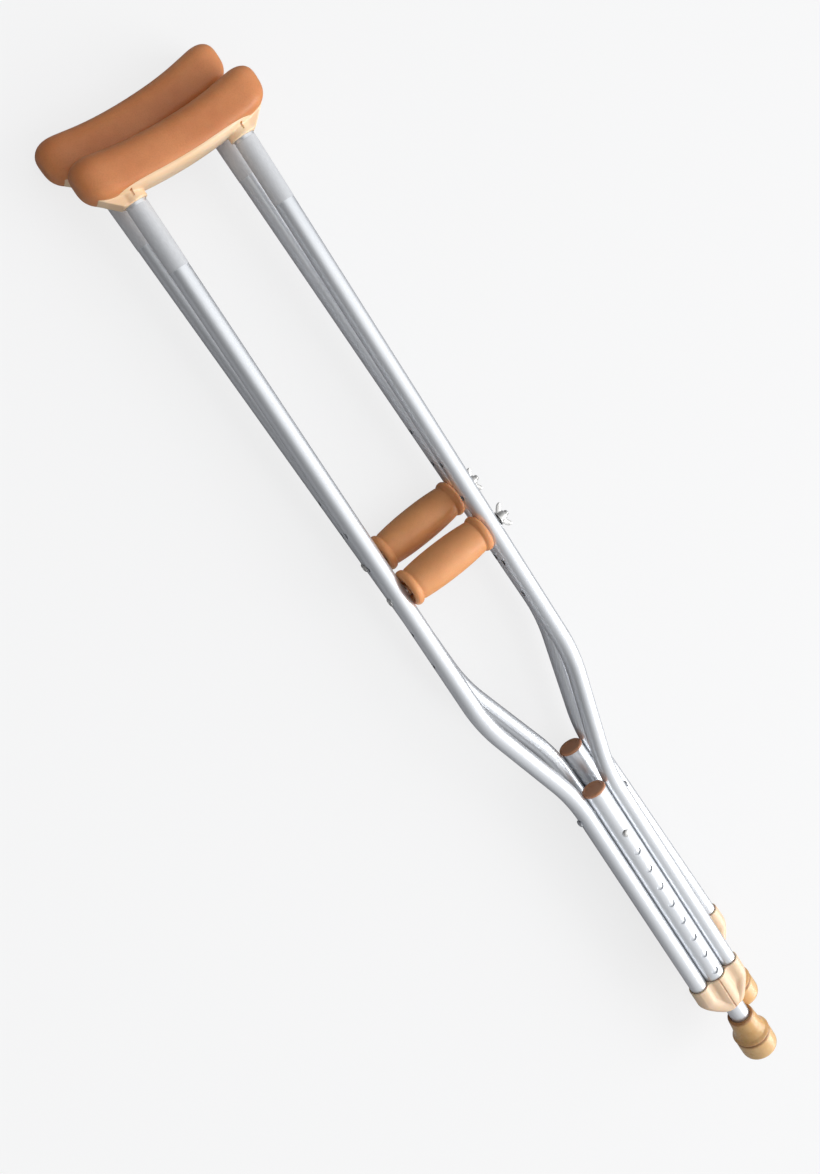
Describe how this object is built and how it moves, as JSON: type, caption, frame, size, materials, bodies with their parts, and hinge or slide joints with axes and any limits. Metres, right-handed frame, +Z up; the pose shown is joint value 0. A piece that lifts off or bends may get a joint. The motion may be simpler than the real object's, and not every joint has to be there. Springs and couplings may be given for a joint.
{
  "type": "underarm crutches",
  "caption": "Pair of adjustable aluminium underarm crutches lying stacked, with padded tops, barrel handgrips, push-button telescopic legs and rubber tips.",
  "frame": {"origin": "on the floor, under the middle of the pair of crutches as they lie", "axes": "+Z up from the floor; +Y along the lower crutch from its rubber tip to its underarm pad; +X to the right across the crutches, towards the wing nuts"},
  "size_m": [0.1858, 1.1716, 0.078],
  "materials": {
    "foam_pad": "soft matt foam skin, orange-brown",
    "foam_grip": "soft satin moulded grip, orange-tan",
    "cream_plastic": "smooth moulded, pale tan",
    "tan_plastic": "smooth moulded, tan",
    "satin_tube": "satin anodised",
    "rivet_metal": "plain",
    "plated_steel": "bright plated",
    "spring_steel": "plain spring strip",
    "amber_rubber": "slightly glossy, amber tan",
    "plain_label": "plain coated label, unprinted"
  },
  "bodies": {
    "lower_frame": {"lower_underarm_pad": "foam_pad", "lower_underarm_saddle": "cream_plastic", "lower_left_side_tube": "satin_tube", "lower_right_side_tube": "satin_tube", "lower_left_tube_label": "plain_label", "lower_right_tube_label": "plain_label", "lower_centre_sleeve": "satin_tube", "lower_sleeve_top_plug": "tan_plastic", "lower_cross_rivet": "rivet_metal", "lower_bottom_cap": "cream_plastic", "lower_grip_bolt": "plated_steel", "lower_wing_nut_washer": "plated_steel"},
    "lower_leg": {"lower_leg_tube": "satin_tube", "lower_leg_top_plug": "tan_plastic", "lower_snap_clip": "spring_steel", "lower_rubber_tip": "amber_rubber", "lower_tip_washer": "plated_steel"},
    "lower_front_button": {"lower_front_button": "plated_steel"},
    "lower_back_button": {"lower_back_button": "plated_steel"},
    "lower_grip": {"lower_handgrip": "foam_grip", "lower_grip_core": "tan_plastic"},
    "lower_wing_nut": {"lower_wing_nut": "plated_steel"},
    "upper_frame": {"upper_underarm_pad": "foam_pad", "upper_underarm_saddle": "cream_plastic", "upper_left_side_tube": "satin_tube", "upper_right_side_tube": "satin_tube", "upper_left_tube_label": "plain_label", "upper_right_tube_label": "plain_label", "upper_centre_sleeve": "satin_tube", "upper_sleeve_top_plug": "tan_plastic", "upper_cross_rivet": "rivet_metal", "upper_bottom_cap": "cream_plastic", "upper_grip_bolt": "plated_steel", "upper_wing_nut_washer": "plated_steel"},
    "upper_leg": {"upper_leg_tube": "satin_tube", "upper_leg_top_plug": "tan_plastic", "upper_snap_clip": "spring_steel", "upper_rubber_tip": "amber_rubber", "upper_tip_washer": "plated_steel"},
    "upper_front_button": {"upper_front_button": "plated_steel"},
    "upper_back_button": {"upper_back_button": "plated_steel"},
    "upper_grip": {"upper_handgrip": "foam_grip", "upper_grip_core": "tan_plastic"},
    "upper_wing_nut": {"upper_wing_nut": "plated_steel"}
  },
  "joints": [
    {"name": "lower_leg_slide", "type": "slide", "parent": "lower_frame", "child": "lower_leg", "axis": [0, -1, 0], "range_m": [0, 0.2032], "deforming": ["lower_front_button", "lower_back_button"]},
    {"name": "lower_front_button_press", "type": "slide", "parent": "lower_leg", "child": "lower_front_button", "axis": [0, 0, -1], "range_m": [0, 0.0038], "stiffness_N_per_m": 1500, "springref_m": -0.002, "deforming": ["lower_snap_clip"]},
    {"name": "lower_back_button_press", "type": "slide", "parent": "lower_leg", "child": "lower_back_button", "axis": [0, 0, 1], "range_m": [0, 0.0038], "stiffness_N_per_m": 1500, "springref_m": -0.002},
    {"name": "lower_wing_nut_turn", "type": "hinge", "parent": "lower_frame", "child": "lower_wing_nut", "pos_m": [-0.00286, 0.12887, 0.0216], "axis": [1, 0, 0], "continuous": true},
    {"name": "lower_grip_turn", "type": "hinge", "parent": "lower_frame", "child": "lower_grip", "pos_m": [-0.00286, 0.12887, 0.0216], "axis": [1, 0, 0], "continuous": true},
    {"name": "upper_leg_slide", "type": "slide", "parent": "upper_frame", "child": "upper_leg", "axis": [-0.0288, -0.9996, 0.0005], "range_m": [0, 0.2032], "deforming": ["upper_front_button", "upper_back_button"]},
    {"name": "upper_front_button_press", "type": "slide", "parent": "upper_leg", "child": "upper_front_button", "axis": [0, -0.0005, -1], "range_m": [0, 0.0038], "stiffness_N_per_m": 1500, "springref_m": -0.002, "deforming": ["upper_snap_clip"]},
    {"name": "upper_back_button_press", "type": "slide", "parent": "upper_leg", "child": "upper_back_button", "axis": [0, 0.0005, 1], "range_m": [0, 0.0038], "stiffness_N_per_m": 1500, "springref_m": -0.002},
    {"name": "upper_wing_nut_turn", "type": "hinge", "parent": "upper_frame", "child": "upper_wing_nut", "pos_m": [-0.01, 0.0944, 0.0561], "axis": [0.9996, -0.0288, 0], "continuous": true},
    {"name": "upper_grip_turn", "type": "hinge", "parent": "upper_frame", "child": "upper_grip", "pos_m": [-0.01, 0.0944, 0.0561], "axis": [0.9996, -0.0288, 0], "continuous": true},
    {"name": "upper_lift_off", "type": "slide", "parent": "lower_frame", "child": "upper_frame", "axis": [0, 0, 1], "range_m": [0, 0.12]}
  ]
}
